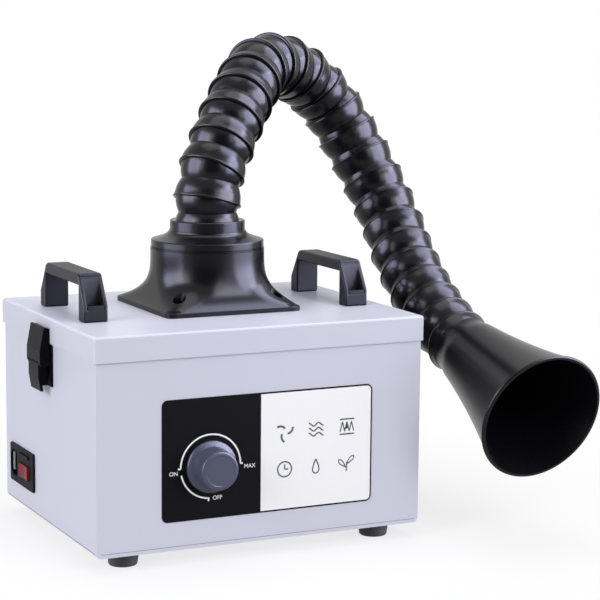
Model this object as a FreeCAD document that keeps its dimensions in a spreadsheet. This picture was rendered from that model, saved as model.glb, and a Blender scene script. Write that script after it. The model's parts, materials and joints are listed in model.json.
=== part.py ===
"""Bench fume extractor: a sheet-metal filter case with a lift-off lid and a jointed suction arm.

Frame: +Z up, the front panel faces -Y, the origin lies on the bench under the middle of the case.
"""
import FreeCAD
import Part
import Sketcher
import math
import os
import re

# Driving sizes in millimetres and degrees; each name is an alias in the sheet
SIZES = {
    # sheet-metal case, with its lid and feet
    "case_width": 345, "case_depth": 273, "case_rise": 208.5, "sheet_gauge": 1.5, "fold_radius": 5,
    "lid_clearance": 1, "lid_skirt": 25, "lid_fold": 2.5, "gasket_thickness": 2, "gasket_width": 12,
    "feet_height": 15, "foot_radius": 16, "foot_taper": 2, "foot_inset_x": 36.5, "foot_inset_y": 27.5,
    # exhaust slots in the rear wall
    "slot_width": 6, "slot_height": 46, "slot_pitch": 12, "slot_count": 9,
    # front label, speed knob and its control
    "label_margin_left": 65.5, "label_margin_right": 54.5, "label_bottom": 43, "label_top": 162,
    "label_thickness": 0.6, "label_corner": 6, "knob_inset": 50.5, "knob_height": 94.4, "knob_gap": 0.6,
    "knob_radius": 25.5,
    "knob_skirt": 5, "knob_cap_radius": 20.5, "knob_cap_draft": 1.5, "knob_length": 23.5, "knob_round": 2,
    "knob_recess": 12, "knob_boss": 6, "shaft_radius": 3, "shaft_play": 0.05, "bushing_radius": 4.5,
    "bushing_length": 6, "control_radius": 9.5, "control_length": 12,
    # mains inlet with fuse drawer and rocker switch
    "inlet_inset": 56.5, "inlet_height": 58.5, "inlet_width": 74, "inlet_rise": 40, "inlet_plate": 2.5,
    "inlet_corner": 3, "inlet_depth": 30, "inlet_lip": 4, "socket_offset": 24, "socket_width": 20,
    "socket_rise": 27, "socket_depth": 17, "pin_length": 14, "pin_width": 2, "pin_rise": 4.5,
    "pin_spread": 7, "pin_offset": 4, "switch_offset": 9.5, "rocker_width": 30, "rocker_rise": 14,
    "rocker_height": 55.5, "rocker_gap": 0.5, "rocker_proud": 2.4, "rocker_tilt": 9, "rocker_depth": 8,
    "fuse_height": 68.7, "fuse_width": 28, "fuse_rise": 9, "fuse_cap": 1.6, "fuse_depth": 20,
    "fuse_play": 0.3,
    # filters and the shelf that carries them
    "shelf_gauge": 2, "shelf_play": 0.5, "ledge_side": 12, "ledge_gauge": 1.5, "ledge_end_gap": 15,
    "filter_side_gap": 11, "filter_end_gap": 10, "filter_headroom": 30, "filter_frame": 14, "filter_recess": 4,
    "prefilter_rise": 15, "prefilter_edge": 3,
    # blower under the shelf
    "blower_front_gap": 20, "blower_height": 64, "blower_wall": 2, "scroll_radius": 100, "scroll_step": 8,
    "duct_inner": 22, "eye_radius": 52, "motor_radius": 38, "motor_height": 24, "motor_edge": 3,
    "spindle_radius": 4, "spindle_reach": 62, "wheel_radius": 68, "wheel_gap": 6, "wheel_plate": 2,
    "wheel_height": 44, "hub_radius": 12, "hub_height": 18, "blade_count": 18, "blade_chord": 18,
    "blade_gauge": 1.6, "blade_lean": 35, "ring_width": 12,
    # control board
    "board_side_gap": 7, "board_front_gap": 9, "board_width": 48, "board_depth": 84, "board_gauge": 1.6,
    "standoff_radius": 3, "standoff_height": 8, "standoff_inset": 5,
    # carrying handles on the lid
    "handle_inset": 33, "top_y": 10, "handle_length": 130, "handle_width": 25, "handle_rise": 46,
    "handle_foot": 16, "handle_leg": 16, "handle_slope": 18, "handle_bar": 11, "handle_round": 3,
    "pocket_width": 17, "pocket_wall": 2.5, "pocket_floor": 13, "handle_screw_radius": 4, "screw_head": 3,
    # arm flange and swivel collar
    "arm_x": 3, "flange_side": 146, "flange_plate": 5, "flange_rise": 60, "flange_radius": 58,
    "flange_corner": 7, "duct_radius": 44, "flange_screw_inset": 20, "flange_screw_radius": 4, "flange_well_radius": 6.5,
    "collar_play": 0.15, "collar_spigot": 12, "collar_shoulder": 3, "collar_neck": 41,
    "collar_neck_rise": 18.5, "collar_ring": 38.3, "collar_ring_rise": 10, "collar_wall": 4, "first_ball_rise": 49.8,
    # ball-and-socket links of the arm
    "link_pitch": 30.5, "ball_radius": 32.5, "ball_clearance": 0.15, "link_wall": 1.35, "rim_drop": 4,
    "lip_radius": 35.3, "lip_bevel": 0.9, "lip_band": 1.6, "lip_top": 2, "ball_end": 8, "link_bore": 27.6,
    # stretches of the arm: count of links, bend of each and direction of that bend round the link
    "rise_count": 2, "rise_bend": 16, "rise_turn": 120, "lean_count": 4, "lean_bend": 9.2, "lean_turn": 148,
    "arch_count": 6, "arch_bend": 16.2, "arch_turn": 103, "drop_count": 5, "drop_bend": 8.8, "drop_turn": 91,
    "reach_count": 6, "reach_bend": 5, "reach_turn": 37,
    # suction nozzle
    "nozzle_length": 167, "mouth_radius": 68, "mouth_bead": 4, "bead_proud": 1.8, "nozzle_wall": 1.8,
    "nozzle_shoulder": 14, "nozzle_neck": 24, "nozzle_neck_radius": 31, "flare_centre": 467,
    # draw latches on both sides
    "latch_y": 6, "latch_width": 40, "latch_base_width": 44, "latch_base_drop": 41, "latch_plate": 2.2,
    "latch_gap": 2, "ear_gauge": 3, "ear_spacing": 8, "lever_width": 30, "lever_skin": 2.2,
    "pivot_out": 6.5, "pivot_drop": 9, "pivot_radius": 1.6, "pivot_play": 0.08, "knuckle_out": 10.4,
    "knuckle_drop": 21.5, "knuckle_radius": 2.8, "lever_drop": 48, "lever_flare": 3,
    "side_play": 0.3, "cheek_gap": 1,
    "hook_rise": 16, "hook_tip": 6.3, "hook_skin": 2.6, "hook_seam": 3.2, "keeper_width": 28,
    "keeper_proud": 3.4, "keeper_rise": 10, "keeper_foot": 3,
}

# Sizes that follow from the driving ones
DERIVED = {
    "lid_width": "case_width + 2 * lid_clearance + 2 * sheet_gauge",
    "lid_depth": "case_depth + 2 * lid_clearance + 2 * sheet_gauge",
    "rim_height": "feet_height + case_rise",
    "lid_top": "feet_height + case_rise + gasket_thickness + sheet_gauge",
    "floor_height": "feet_height + sheet_gauge",
    "blower_floor": "feet_height + sheet_gauge + motor_height",
    "shelf_height": "feet_height + sheet_gauge + motor_height + blower_height",
    "blower_y": "scroll_radius + blower_front_gap + sheet_gauge - case_depth / 2",
    "blower_reach": "case_depth / 2 - sheet_gauge - blower_y",
    "filter_width": "case_width - 2 * sheet_gauge - 2 * filter_side_gap",
    "filter_depth": "case_depth - 2 * sheet_gauge - 2 * filter_end_gap",
    "filter_rise": "rim_height - shelf_height - shelf_gauge - prefilter_rise - filter_headroom",
    "ledge_length": "case_depth - 2 * sheet_gauge - 2 * ledge_end_gap",
    "board_x": "board_side_gap + board_width / 2 + sheet_gauge - case_width / 2",
    "board_y": "board_front_gap + board_depth / 2 + sheet_gauge - case_depth / 2",
    "handle_x": "lid_width / 2 - handle_inset",
    "label_left": "label_margin_left - case_width / 2",
    "label_right": "case_width / 2 - label_margin_right",
    "knob_x": "label_left + knob_inset",
    "inlet_y": "case_depth / 2 - inlet_inset",
    "socket_y": "inlet_y + socket_offset",
    "switch_y": "inlet_y - switch_offset",
    "shaft_bore": "shaft_radius + shaft_play",
    "socket_radius": "ball_radius + ball_clearance",
    "bulge_radius": "ball_radius + ball_clearance + link_wall",
    "crease_height": "(link_pitch ^ 2 + bulge_radius ^ 2 - ball_radius ^ 2) / (2 * link_pitch)",
    "crease_radius": "sqrt(bulge_radius ^ 2 - crease_height ^ 2)",
    "ball_end_radius": "sqrt(ball_radius ^ 2 - ball_end ^ 2)",
    "rim_radius": "sqrt(socket_radius ^ 2 - rim_drop ^ 2)",
    "throat_height": "sqrt(socket_radius ^ 2 - link_bore ^ 2)",
    "bulge_start": "sqrt(bulge_radius ^ 2 - lip_top ^ 2)",
    "shoulder_radius": "sqrt(bulge_radius ^ 2 - nozzle_shoulder ^ 2)",
    "collar_bulge_height": "first_ball_rise - link_pitch",
    "collar_bulge_top": "collar_neck_rise + collar_ring_rise",
    "collar_bulge_radius": "sqrt(bulge_radius ^ 2 - (collar_bulge_top - collar_bulge_height) ^ 2)",
    "latch_top": "lid_top - lid_skirt",
}

# The arm from the collar out; the last link of the last stretch is the nozzle
STRETCHES = ("rise", "lean", "arch", "drop", "reach")

doc = FreeCAD.newDocument("fume_extractor")
sheet = doc.addObject("Spreadsheet::Sheet", "Dims")


def fill_sheet():
    """Write the driving sizes as plain numbers and the derived ones as formulas."""
    row = 0
    for name, value in SIZES.items():
        row += 1
        sheet.set(f"A{row}", name)
        sheet.set(f"B{row}", str(value))
        sheet.setAlias(f"B{row}", name)
    doc.recompute()
    for name, formula in DERIVED.items():
        row += 1
        sheet.set(f"A{row}", name)
        sheet.set(f"B{row}", "=" + formula)
        sheet.setAlias(f"B{row}", name)
        doc.recompute()


def number(text):
    """Value of a sum of products of sheet names and plain numbers."""
    total = 0.0
    for sign, term in re.findall(r"([+-]?)\s*([^+-]+)", text):
        product = 1.0
        for operator, factor in re.findall(r"([*/]?)\s*([\w.]+)", term):
            value = float(factor) if factor[0].isdigit() else float(sheet.get(factor))
            product = product / value if operator == "/" else product * value
        total += -product if sign == "-" else product
    return total


def cell(text):
    """The same sum as an expression on the sheet."""
    return re.sub(r"[a-z]\w*", r"Dims.\g<0>", text)


def bind(thing, **properties):
    """Tie properties to the sheet; a double underscore stands for a dot."""
    for name, text in properties.items():
        thing.setExpression(name.replace("__", "."), cell(text))
    return thing


def place(thing, x="0", y="0", z="0"):
    """Tie a placement's base to the sheet."""
    return bind(thing, Placement__Base__x=x, Placement__Base__y=y, Placement__Base__z=z)


def label(thing, name):
    thing.Label = name
    return thing


# Solids from primitives
def box(x, y, z, length, width, height):
    """Block from its lowest corner."""
    block = doc.addObject("Part::Box", "block")
    bind(block, Length=length, Width=width, Height=height)
    return place(block, x, y, z)


def rod(axis, x, y, z, radius, length):
    """Cylinder from a base centre, along X, Y or Z."""
    cylinder = doc.addObject("Part::Cylinder", "rod")
    bind(cylinder, Radius=radius, Height=length)
    turns = {"X": (FreeCAD.Vector(0, 1, 0), 90), "Y": (FreeCAD.Vector(1, 0, 0), -90),
             "Z": (FreeCAD.Vector(0, 0, 1), 0)}
    cylinder.Placement = FreeCAD.Placement(FreeCAD.Vector(), FreeCAD.Rotation(*turns[axis]))
    return place(cylinder, x, y, z)


def fuse(*pieces):
    joined = doc.addObject("Part::MultiFuse", "joined")
    joined.Shapes = list(pieces)
    return joined


def cut(base, *tools):
    result = doc.addObject("Part::Cut", "cut")
    result.Base = base
    result.Tool = tools[0] if len(tools) == 1 else fuse(*tools)
    return result


def group(pieces):
    """Separate solids that share one node."""
    compound = doc.addObject("Part::Compound", "group")
    compound.Links = list(pieces)
    return compound


def copy_of(source, placement):
    """The same solid again at another place."""
    link = doc.addObject("App::Link", "copy")
    link.LinkedObject = source
    link.LinkTransform = False
    link.Placement = placement
    return link


# Bodies from sketches
def new_body(name):
    body = doc.addObject("PartDesign::Body", name)
    body.Label = name
    return body


def hold(sketch, kind, edge, end, text):
    """Fix one coordinate of a point by a sheet expression."""
    if text == "0":
        axis = -2 if kind == "DistanceX" else -1
        sketch.addConstraint(Sketcher.Constraint("PointOnObject", edge, end, axis))
        return
    index = sketch.addConstraint(Sketcher.Constraint(kind, -1, 1, edge, end, number(text)))
    sketch.setExpression(f"Constraints[{index}]", cell(text))


def draw(sketch, outline):
    """Closed outline of (x, y) corners; (x, y, cx, cy) reaches its corner by an arc round that centre."""
    corners = [FreeCAD.Vector(number(step[0]), number(step[1]), 0) for step in outline]
    first = sketch.GeometryCount
    ends = []
    for i, step in enumerate(outline):
        start, stop = corners[i - 1], corners[i]
        if len(step) == 2:
            sketch.addGeometry(Part.LineSegment(start, stop))
            ends.append((1, 2))
            continue
        centre = FreeCAD.Vector(number(step[2]), number(step[3]), 0)
        from_centre, to_stop = start - centre, stop - centre
        middle = (from_centre + to_stop).normalize() * to_stop.Length
        sketch.addGeometry(Part.Arc(start, centre + middle, stop))
        ends.append((1, 2) if from_centre.cross(to_stop).z > 0 else (2, 1))
    for i, step in enumerate(outline):
        edge = first + i
        following = (i + 1) % len(outline)
        sketch.addConstraint(Sketcher.Constraint(
            "Coincident", edge, ends[i][1], first + following, ends[following][0]))
        hold(sketch, "DistanceX", edge, ends[i][1], step[0])
        hold(sketch, "DistanceY", edge, ends[i][1], step[1])
        if len(step) == 4:
            hold(sketch, "DistanceX", edge, 3, step[2])


def draw_circle(sketch, x, y, radius):
    centre = FreeCAD.Vector(number(x), number(y), 0)
    edge = sketch.addGeometry(Part.Circle(centre, FreeCAD.Vector(0, 0, 1), number(radius)))
    hold(sketch, "DistanceX", edge, 3, x)
    hold(sketch, "DistanceY", edge, 3, y)
    index = sketch.addConstraint(Sketcher.Constraint("Radius", edge, number(radius)))
    sketch.setExpression(f"Constraints[{index}]", cell(radius))


def sketch_on(body, plane, offset, *outlines):
    """Sketch on an origin plane; XY looks down, XZ has its normal to the front, YZ to the right."""
    sketch = body.newObject("Sketcher::SketchObject", "sketch")
    support = [f for f in body.Origin.OriginFeatures if f.Role == plane + "_Plane"]
    sketch.AttachmentSupport = [(support[0], "")]
    sketch.MapMode = "FlatFace"
    if offset != "0":
        sketch.setExpression("AttachmentOffset.Base.z", cell(offset))
    for outline in outlines:
        if outline[0] == "circle":
            draw_circle(sketch, *outline[1:])
        else:
            draw(sketch, outline)
    return sketch


def rectangle(x0, y0, x1, y1):
    return [(x0, y0), (x1, y0), (x1, y1), (x0, y1)]


def minus(text):
    """The same sum with its sign turned."""
    return "0 - " + text.replace(" - ", " ~ ").replace(" + ", " - ").replace(" ~ ", " + ")


def less(text, other):
    """The first sum less the second."""
    return text + minus(other)[1:]


def rounded(half_x, half_y, radius):
    """Rectangle round the origin with rounded corners."""
    in_x, in_y = f"{half_x} - {radius}", f"{half_y} - {radius}"
    out_x, out_y = minus(half_x), minus(half_y)
    back_x, back_y = minus(in_x), minus(in_y)
    return [(in_x, out_y), (half_x, back_y, in_x, back_y), (half_x, in_y), (in_x, half_y, in_x, in_y),
            (back_x, half_y), (out_x, in_y, back_x, in_y), (out_x, back_y), (back_x, out_y, back_x, back_y)]


def extrude(body, kind, sketch, length, reverse=False):
    """Pad or pocket of a sketch."""
    feature = body.newObject("PartDesign::" + kind, kind.lower())
    feature.Profile = sketch
    feature.Reversed = reverse
    bind(feature, Length=length)
    doc.recompute()
    return feature


def pad(body, plane, offset, length, *outlines, reverse=False):
    return extrude(body, "Pad", sketch_on(body, plane, offset, *outlines), length, reverse)


def pocket(body, plane, offset, length, *outlines, reverse=False):
    """Cut that has to take material away."""
    before = body.Shape.Volume
    feature = extrude(body, "Pocket", sketch_on(body, plane, offset, *outlines), length, reverse)
    if body.Shape.Volume >= before:
        raise RuntimeError(f"a pocket of {body.Label} cuts nothing")
    return feature


def revolve(body, outline):
    """Turned form: the outline's x is the radius and its y the height on the axis."""
    feature = body.newObject("PartDesign::Revolution", "revolution")
    feature.Profile = sketch_on(body, "XZ", "0", outline)
    feature.ReferenceAxis = (feature.Profile[0], ["V_Axis"])
    feature.Angle = 360
    doc.recompute()
    return feature


def repeat_round(body, feature, count):
    """Copies of a feature round the Z axis."""
    pattern = body.newObject("PartDesign::PolarPattern", "pattern")
    pattern.Originals = [feature]
    pattern.Axis = ([f for f in body.Origin.OriginFeatures if f.Role == "Z_Axis"][0], [""])
    pattern.Angle = 360
    bind(pattern, Occurrences=count)
    body.Tip = pattern
    doc.recompute()
    return pattern


def edges_where(feature, test):
    """Names of the edges whose middle and direction pass a test."""
    names = []
    for i, edge in enumerate(feature.Shape.Edges, 1):
        start, stop = edge.Vertexes[0].Point, edge.Vertexes[-1].Point
        if test((start + stop) * 0.5, stop - start):
            names.append(f"Edge{i}")
    return names


def round_edges(body, feature, radius, test):
    fillet = body.newObject("PartDesign::Fillet", "fillet")
    fillet.Base = (feature, edges_where(feature, test))
    bind(fillet, Radius=radius)
    doc.recompute()
    return fillet


def hollow(body, feature, wall, top):
    """Shell of a solid, open at its top or its bottom."""
    faces = feature.Shape.Faces
    heights = [face.CenterOfMass.z for face in faces]
    chosen = heights.index(max(heights) if top else min(heights)) + 1
    shell = body.newObject("PartDesign::Thickness", "shell")
    shell.Base = (feature, [f"Face{chosen}"])
    shell.Reversed = True
    shell.Join = "Intersection"
    bind(shell, Value=wall)
    doc.recompute()
    return shell


def make_case():
    """Folded shell, open at the top, with the cut-outs in its walls."""
    body = new_body("case_body")
    blank = pad(body, "XY", "feet_height", "case_rise", rectangle(
        "0 - case_width / 2", "0 - case_depth / 2", "case_width / 2", "case_depth / 2"))
    low = number("feet_height")
    folded = round_edges(body, blank, "fold_radius", lambda m, d: abs(m.z - low) < 0.1 and abs(d.y) > 1)
    hollow(body, folded, "sheet_gauge", True)
    pocket(body, "XZ", "case_depth / 2", "2 * sheet_gauge",
           ("circle", "knob_x", "knob_height", "bushing_radius"))
    pocket(body, "YZ", "0 - case_width / 2", "2 * sheet_gauge", rectangle(
        "inlet_y - inlet_width / 2 + inlet_lip", "inlet_height - inlet_rise / 2 + inlet_lip",
        "inlet_y + inlet_width / 2 - inlet_lip", "inlet_height + inlet_rise / 2 - inlet_lip"), reverse=True)
    # upright exhaust slots opposite the blower's outlet
    middle = "duct_inner / 2 + scroll_radius / 2"
    low_edge = "blower_floor + blower_height / 2 - slot_height / 2"
    slots = []
    count = int(number("slot_count"))
    for i in range(count):
        shift = f"{i} * slot_pitch - slot_count * slot_pitch / 2 + slot_pitch / 2"
        slots.append(rectangle(f"{middle} + {shift} - slot_width / 2", low_edge,
                               f"{middle} + {shift} + slot_width / 2", low_edge + " + slot_height"))
    pocket(body, "XZ", "0 - case_depth / 2", "2 * sheet_gauge", *slots, reverse=True)
    return body


def make_lid():
    """Lift-off lid: a folded tray turned over, with the hole for the arm."""
    body = new_body("lid")
    blank = pad(body, "XY", "lid_top - lid_skirt", "lid_skirt", rectangle(
        "0 - lid_width / 2", "0 - lid_depth / 2", "lid_width / 2", "lid_depth / 2"))
    low = number("lid_top - lid_skirt")
    folded = round_edges(body, blank, "lid_fold", lambda m, d: m.z > low + 1)
    hollow(body, folded, "sheet_gauge", False)
    pocket(body, "XY", "lid_top", "2 * sheet_gauge", ("circle", "arm_x", "top_y", "duct_radius"))
    return body


def make_gasket():
    """Foam frame between the lid and the case's rim."""
    body = new_body("lid_gasket")
    pad(body, "XY", "rim_height", "gasket_thickness",
        rectangle("0 - case_width / 2", "0 - case_depth / 2", "case_width / 2", "case_depth / 2"),
        rectangle("gasket_width - case_width / 2", "gasket_width - case_depth / 2",
                  "case_width / 2 - gasket_width", "case_depth / 2 - gasket_width"))
    return body


def make_feet():
    """Four tapered rubber feet with a screw well."""
    foot = new_body("foot")
    revolve(foot, [
        ("0", "4"), ("foot_radius / 3", "4"), ("foot_radius / 3", "0"), ("foot_radius - foot_taper - 1", "0"),
                   ("foot_radius - foot_taper", "1"), ("foot_radius", "feet_height"), ("0", "feet_height")])
    places = []
    for side in (-1, 1):
        for end in (-1, 1):
            x = side * number("case_width / 2 - foot_inset_x")
            y = end * number("case_depth / 2 - foot_inset_y")
            places.append(FreeCAD.Placement(FreeCAD.Vector(x, y, 0), FreeCAD.Rotation()))
    return label(group([copy_of(foot, p) for p in places]), "rubber_feet")


def make_label():
    """Thin panel on the front with a hole for the control's bushing."""
    body = new_body("front_label")
    half_x, half_y = "label_right / 2 - label_left / 2", "label_top / 2 - label_bottom / 2"
    mid_x, mid_z = "label_left / 2 + label_right / 2", "label_bottom / 2 + label_top / 2"
    plate = sketch_on(body, "XZ", "0", rounded(half_x, half_y, "label_corner"),
                      ("circle", "knob_x - label_left / 2 - label_right / 2",
                       "knob_height - label_bottom / 2 - label_top / 2", "bushing_radius"))
    extrude(body, "Pad", plate, "label_thickness")
    return place(body, mid_x, "0 - case_depth / 2", mid_z)


def turned_to_front(body, y):
    """Stand a turned form on the front panel, its axis pointing forward, at the knob's place."""
    body.Placement = FreeCAD.Placement(FreeCAD.Vector(), FreeCAD.Rotation(FreeCAD.Vector(1, 0, 0), 90))
    return place(body, "knob_x", y, "knob_height")


def make_knob():
    """Skirted cap with a hollow back, a boss for the shaft and a rounded crown."""
    body = new_body("speed_knob")
    top = "knob_length"
    crown = "knob_cap_radius - knob_cap_draft"
    form = revolve(body, [
        ("shaft_radius", "knob_boss"), ("2 * shaft_radius", "knob_boss"),
        ("2 * shaft_radius", "knob_recess - 2"),
        ("knob_cap_radius - 3", "knob_recess - 2"), ("knob_cap_radius - 3", "0"), ("knob_radius", "0"),
        ("knob_radius", "knob_skirt - 1.5"), ("knob_cap_radius", "knob_skirt"), (crown, top), ("0", top),
        ("0", "knob_recess"), ("shaft_radius", "knob_recess")])
    high = number(top)
    round_edges(body, form, "knob_round", lambda m, d: abs(m.z - high) < 0.1)
    return turned_to_front(body, "0 - case_depth / 2 - label_thickness - knob_gap")


def make_control():
    """Speed control behind the front wall, with its bushing through the wall and label."""
    body = new_body("speed_control")
    revolve(body, [
        ("shaft_bore", "0 - control_length - sheet_gauge"),
        ("control_radius", "0 - control_length - sheet_gauge"),
        ("control_radius", "0 - sheet_gauge"), ("bushing_radius", "0 - sheet_gauge"),
        ("bushing_radius", "bushing_length"), ("shaft_bore", "bushing_length")])
    return turned_to_front(body, "0 - case_depth / 2")


def make_shaft():
    """Shaft that the knob is pressed on."""
    start = "label_thickness + knob_gap + knob_recess"
    shaft = rod("Y", "knob_x", f"0 - case_depth / 2 - {start.replace('+', '-')}", "knob_height",
                "shaft_radius", start + " + sheet_gauge + control_length")
    return label(shaft, "control_shaft")


def make_inlet():
    """Flanged housing with the mains socket, the fuse bay and the switch bay."""
    body = new_body("inlet_housing")
    half_y, half_z = "inlet_width / 2", "inlet_rise / 2"
    pad(body, "YZ", "0", "inlet_plate", rounded(half_y, half_z, "inlet_corner"), reverse=True)
    pad(body, "YZ", "0", "inlet_depth", rectangle(
        "0.3 + inlet_lip - inlet_width / 2", "0.3 + inlet_lip - inlet_rise / 2",
        "inlet_width / 2 - inlet_lip - 0.3", "inlet_rise / 2 - inlet_lip - 0.3"))
    left, right = "socket_y - inlet_y - socket_width / 2", "socket_y - inlet_y + socket_width / 2"
    chamfer = "socket_width / 4"
    shroud = [(left, "0 - socket_rise / 2"), (right + " - " + chamfer, "0 - socket_rise / 2"),
              (right, f"{chamfer} - socket_rise / 2"), (right, f"socket_rise / 2 - {chamfer}"),
              (right + " - " + chamfer, "socket_rise / 2"), (left, "socket_rise / 2")]
    pocket(body, "YZ", "0 - inlet_plate", "inlet_plate + socket_depth", shroud, reverse=True)
    bays = (
        ("rocker_width / 2 + rocker_gap", "rocker_height", "rocker_rise / 2 + rocker_gap", "rocker_depth + 4"),
        ("fuse_width / 2 + fuse_play", "fuse_height", "fuse_rise / 2 + fuse_play", "fuse_depth + fuse_play"))
    for half, height, rise, depth in bays:
        pocket(body, "YZ", "0 - inlet_plate", "inlet_plate + " + depth, rectangle(
            less("switch_y - inlet_y", half), less(f"{height} - inlet_height", rise),
            f"switch_y - inlet_y + {half}", f"{height} - inlet_height + {rise}"), reverse=True)
    return place(body, "0 - case_width / 2", "inlet_y", "inlet_height")


def make_inlet_pins():
    """Three flat pins standing in the socket's floor, the earth pin set aside."""
    x = "socket_depth - pin_length - case_width / 2"
    pins = []
    spots = (("pin_offset", "0"), ("0 - pin_offset", "pin_spread"), ("0 - pin_offset", "0 - pin_spread"))
    for shift_y, shift_z in spots:
        pins.append(box(x, f"socket_y + {shift_y} - pin_width / 2".replace("+ 0 -", "-"),
                        f"inlet_height + {shift_z} - pin_rise / 2".replace("+ 0 -", "-"),
                        "pin_length", "pin_width", "pin_rise"))
    return label(group(pins), "inlet_pins")


def make_rocker():
    """Switch rocker: two faces that meet in a shallow valley, on a round belly."""
    body = new_body("switch_rocker")
    half = "rocker_width / 2"
    pad(body, "XY", "0 - rocker_rise / 2", "rocker_rise", [
        ("0 - rocker_proud", "0 - rocker_width / 2 + 1"), ("0 - rocker_proud + 1.4", "0"),
        ("0 - rocker_proud", half + " - 1"), ("0", half), ("rocker_depth / 2", half + " - 3"),
        ("rocker_depth / 2", "3 - rocker_width / 2"), ("0", "0 - rocker_width / 2")])
    return place(body, "0 - case_width / 2 - inlet_plate", "switch_y", "rocker_height")


def make_fuse_drawer():
    """Small drawer with a finger lip."""
    half_y, half_z = "fuse_width / 2", "fuse_rise / 2"
    front = "0 - case_width / 2 - inlet_plate"
    tray = box(front, "switch_y - fuse_width / 2", "fuse_height - fuse_rise / 2",
               "fuse_depth", "fuse_width", "fuse_rise")
    well = box(front + " + 4", f"switch_y - {half_y} + 2", f"fuse_height - {half_z} + 2",
               "fuse_depth - 6", "fuse_width - 4", "fuse_rise")
    lip = box(front + " - fuse_cap", f"switch_y - {half_y}", f"fuse_height + {half_z} - 3",
              "fuse_cap", "fuse_width", "3")
    return label(fuse(cut(tray, well), lip), "fuse_drawer")


def make_shelf():
    """Plate that carries the filter, open over the blower's eye."""
    body = new_body("filter_shelf")
    half_x, half_y = "case_width / 2 - sheet_gauge - shelf_play", "case_depth / 2 - sheet_gauge - shelf_play"
    pad(body, "XY", "shelf_height", "shelf_gauge",
        rectangle(minus(half_x), minus(half_y), half_x, half_y),
        ("circle", "0", "blower_y", "eye_radius"))
    return body


def make_ledges():
    """Two angle strips on the side walls under the shelf."""
    body = new_body("ledge")
    pad(body, "XZ", "0 - ledge_length / 2", "ledge_length", [
        ("0", "0 - ledge_side"), ("ledge_gauge", "0 - ledge_side"), ("ledge_gauge", "0 - ledge_gauge"),
        ("ledge_side", "0 - ledge_gauge"), ("ledge_side", "0"), ("0", "0")])
    x, z = number("case_width / 2 - sheet_gauge"), number("shelf_height")
    left = FreeCAD.Placement(FreeCAD.Vector(-x, 0, z), FreeCAD.Rotation())
    right = FreeCAD.Placement(FreeCAD.Vector(x, 0, z), FreeCAD.Rotation(FreeCAD.Vector(0, 0, 1), 180))
    return label(group([copy_of(body, left), copy_of(body, right)]), "shelf_ledges")


def make_filters():
    """Framed main filter and the fleece pad that lies on it."""
    main = new_body("main_filter")
    low = "shelf_height + shelf_gauge"
    pad(main, "XY", low, "filter_rise", rectangle(
        "0 - filter_width / 2", "0 - filter_depth / 2", "filter_width / 2", "filter_depth / 2"))
    pocket(main, "XY", low + " + filter_rise", "filter_recess", rectangle(
        "filter_frame - filter_width / 2", "filter_frame - filter_depth / 2",
        "filter_width / 2 - filter_frame", "filter_depth / 2 - filter_frame"))
    fleece = new_body("prefilter")
    base = low + " + filter_rise"
    blank = pad(fleece, "XY", base, "prefilter_rise", rectangle(
        "0 - filter_width / 2", "0 - filter_depth / 2", "filter_width / 2", "filter_depth / 2"))
    high = number(base + " + prefilter_rise")
    round_edges(fleece, blank, "prefilter_edge", lambda m, d: abs(m.z - high) < 0.1)
    return [main, fleece]


def scroll(wall):
    """Outline of the blower's scroll: quarter arcs that shrink by one step each, then the outlet duct."""
    r1 = f"scroll_radius{wall}"
    r2 = f"scroll_radius - scroll_step{wall}"
    top = f"scroll_radius - 3 * scroll_step{wall}"
    reach = "blower_reach" if not wall else "blower_reach + blower_wall"
    inner = "duct_inner" if not wall else "duct_inner + blower_wall"
    return [(r1, reach), (r1, "0"), ("0", minus(r1), "0", "0"),
            (minus(r2), "0 - scroll_step", "0", "0 - scroll_step"),
            ("0 - scroll_step", top, "0 - scroll_step", "0 - scroll_step"), (inner, top), (inner, reach)]


def make_blower():
    """Scroll housing with an inlet eye on top and an outlet at the rear wall."""
    body = new_body("blower_housing")
    pad(body, "XY", "0", "blower_height", scroll(""))
    pocket(body, "XY", "blower_height", "blower_height - blower_wall", scroll(" - blower_wall"))
    pad(body, "XY", "blower_height - blower_wall", "blower_wall", scroll(""),
        ("circle", "0", "0", "eye_radius"))
    pocket(body, "XY", "blower_wall", "2 * blower_wall", ("circle", "0", "0", "hub_radius"))
    return place(body, "0", "blower_y", "blower_floor")


def make_motor():
    """Flat motor under the blower, with a bore for the spindle."""
    body = new_body("blower_motor")
    revolve(body, [
        ("spindle_radius + shaft_play", "4"), ("0", "4"), ("0", "0"), ("motor_radius - motor_edge", "0"),
        ("motor_radius", "motor_edge", "motor_radius - motor_edge", "motor_edge"),
        ("motor_radius", "motor_height"), ("spindle_radius + shaft_play", "motor_height")])
    return place(body, "0", "blower_y", "floor_height")


def make_spindle():
    spindle = rod("Z", "0", "blower_y", "floor_height + 4.2", "spindle_radius", "spindle_reach")
    return label(spindle, "blower_spindle")


def make_wheel():
    """Blower wheel: back plate, hub, leaned blades and a top ring."""
    body = new_body("blower_wheel")
    bore = ("circle", "0", "0", "spindle_radius")
    pad(body, "XY", "0", "wheel_plate", ("circle", "0", "0", "wheel_radius"), bore)
    pad(body, "XY", "0", "hub_height", ("circle", "0", "0", "hub_radius"), bore)
    lean = math.tan(math.radians(number("blade_lean")))
    near, far = "wheel_radius - blade_chord", "wheel_radius - 1"
    sweep = f"blade_chord * {lean:.4f}"
    blade = pad(body, "XY", "0", "wheel_height", [
        (near, "0"), (far, sweep), (far, sweep + " + blade_gauge"), (near, "blade_gauge")])
    repeat_round(body, blade, "blade_count")
    pad(body, "XY", "wheel_height - wheel_plate", "wheel_plate",
        ("circle", "0", "0", "wheel_radius"), ("circle", "0", "0", "wheel_radius - ring_width"))
    return place(body, "0", "blower_y", "blower_floor + blower_wall + wheel_gap")


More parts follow.
